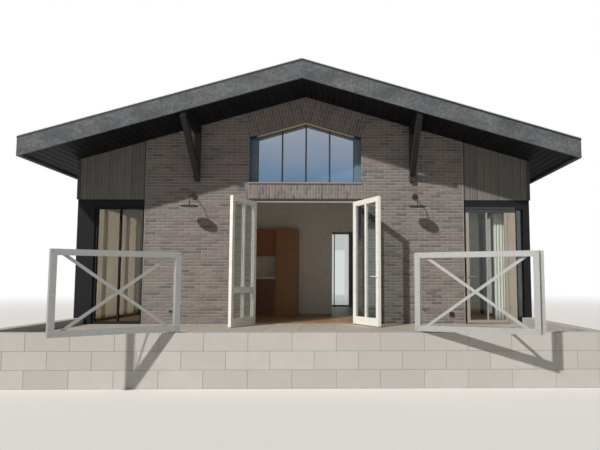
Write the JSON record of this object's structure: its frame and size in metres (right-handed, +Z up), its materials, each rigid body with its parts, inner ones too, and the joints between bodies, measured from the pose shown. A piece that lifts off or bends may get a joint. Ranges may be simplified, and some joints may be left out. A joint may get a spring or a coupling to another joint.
{
  "type": "beach house",
  "caption": "Low gabled beach house of grey-brown brick and charcoal timber on a block-walled terrace, with open French doors, glazed wings and hinged cross-braced gates.",
  "frame": {"origin": "on the ground, at the middle of the whole part's plan box", "axes": "+X to the right seen from the front, +Y from the front to the back, +Z up"},
  "size_m": [9.8986, 13.141, 5.4046],
  "materials": {
    "concrete_block": "smooth sawn blocks, matt",
    "concrete_floor": "trowelled, matt",
    "brick": "hand-moulded brick with light mortar, matt",
    "timber_cladding": "upright stained boards, weathered, matt",
    "black_timber": "black stain, matt",
    "charcoal_boards": "charcoal stain, weathered, matt",
    "roof_covering": "folded dark sheet, satin",
    "edge_metal": "plain folded trim, satin",
    "window_metal": "dark coated frames, satin",
    "window_glass": "clear double glazing",
    "white_paint": "white paint, satin",
    "greige_paint": "grey-beige paint, satin",
    "lamp_metal": "black powder coat, matt",
    "lining_wood": "light oiled boards, matt",
    "curtain_cloth": "plain woven cotton, matt",
    "plaster": "painted plaster, matt",
    "cabinet_wood": "brown wood fronts, satin",
    "galvanised_steel": "hot-dip galvanised, dull"
  },
  "bodies": {
    "house": {"terrace_front_wall": "concrete_block", "terrace_side_walls": "concrete_block", "terrace_deck": "concrete_floor", "house_plinth": "concrete_block", "floor_slab": "concrete_floor", "front_wall_left": "brick", "front_wall_right": "brick", "front_wall_over_door": "brick", "front_wall_over_window": "brick", "wing_gables": "timber_cladding", "wing_beams": "black_timber", "corner_panels": "black_timber", "wing_glass": "window_glass", "left_bay_frame": "black_timber", "right_door_frame": "greige_paint", "left_side_wall": "timber_cladding", "right_side_wall": "timber_cladding", "side_window_frames": "greige_paint", "side_window_glass": "window_glass", "back_wall": "brick", "back_wings": "timber_cladding", "back_window_frame": "white_paint", "back_window_glass": "window_glass", "soffit": "black_timber", "left_roof_slope": "roof_covering", "right_roof_slope": "roof_covering", "ridge_cap": "roof_covering", "front_bargeboards": "charcoal_boards", "back_bargeboards": "charcoal_boards", "eaves_boards": "charcoal_boards", "roof_edge_trim": "edge_metal", "purlins": "black_timber", "roof_brackets": "black_timber", "gable_window_frame": "window_metal", "gable_window_glass": "window_glass", "gable_window_lining": "lining_wood", "french_door_frame": "white_paint", "wall_lamps": "lamp_metal", "curtain_rail": "galvanised_steel", "right_curtain": "curtain_cloth", "cross_wall": "plaster", "tall_cabinet": "cabinet_wood", "base_cabinet": "cabinet_wood", "wall_cupboard": "cabinet_wood", "gate_pivots": "galvanised_steel"},
    "left_french_leaf": {"left_french_leaf": "white_paint", "left_leaf_glass": "window_glass"},
    "right_french_leaf": {"right_french_leaf": "white_paint", "right_leaf_glass": "window_glass"},
    "right_door_leaf": {"right_door_leaf": "greige_paint", "side_leaf_glass": "window_glass"},
    "left_gate": {"left_gate": "galvanised_steel"},
    "right_gate": {"right_gate": "galvanised_steel"}
  },
  "joints": [
    {"name": "left_french_hinge", "type": "hinge", "parent": "house", "child": "left_french_leaf", "pos_m": [-0.993, -2.18776, 0.63], "axis": [0, 0, 1], "range_deg": [-62, 108]},
    {"name": "right_french_hinge", "type": "hinge", "parent": "house", "child": "right_french_leaf", "pos_m": [0.993, -2.18776, 0.63], "axis": [0, 0, 1], "range_deg": [-116, 54]},
    {"name": "side_door_hinge", "type": "hinge", "parent": "house", "child": "right_door_leaf", "pos_m": [3.971, -2.16776, 0.63], "axis": [0, 0, 1], "range_deg": [0, 95]},
    {"name": "left_gate_hinge", "type": "hinge", "parent": "house", "child": "left_gate", "pos_m": [-1.555, -5.54076, 0.77], "axis": [0, 0, 1], "range_deg": [-30, 142]},
    {"name": "right_gate_hinge", "type": "hinge", "parent": "house", "child": "right_gate", "pos_m": [1.755, -5.54076, 0.77], "axis": [0, 0, 1], "range_deg": [-155, 15]}
  ]
}
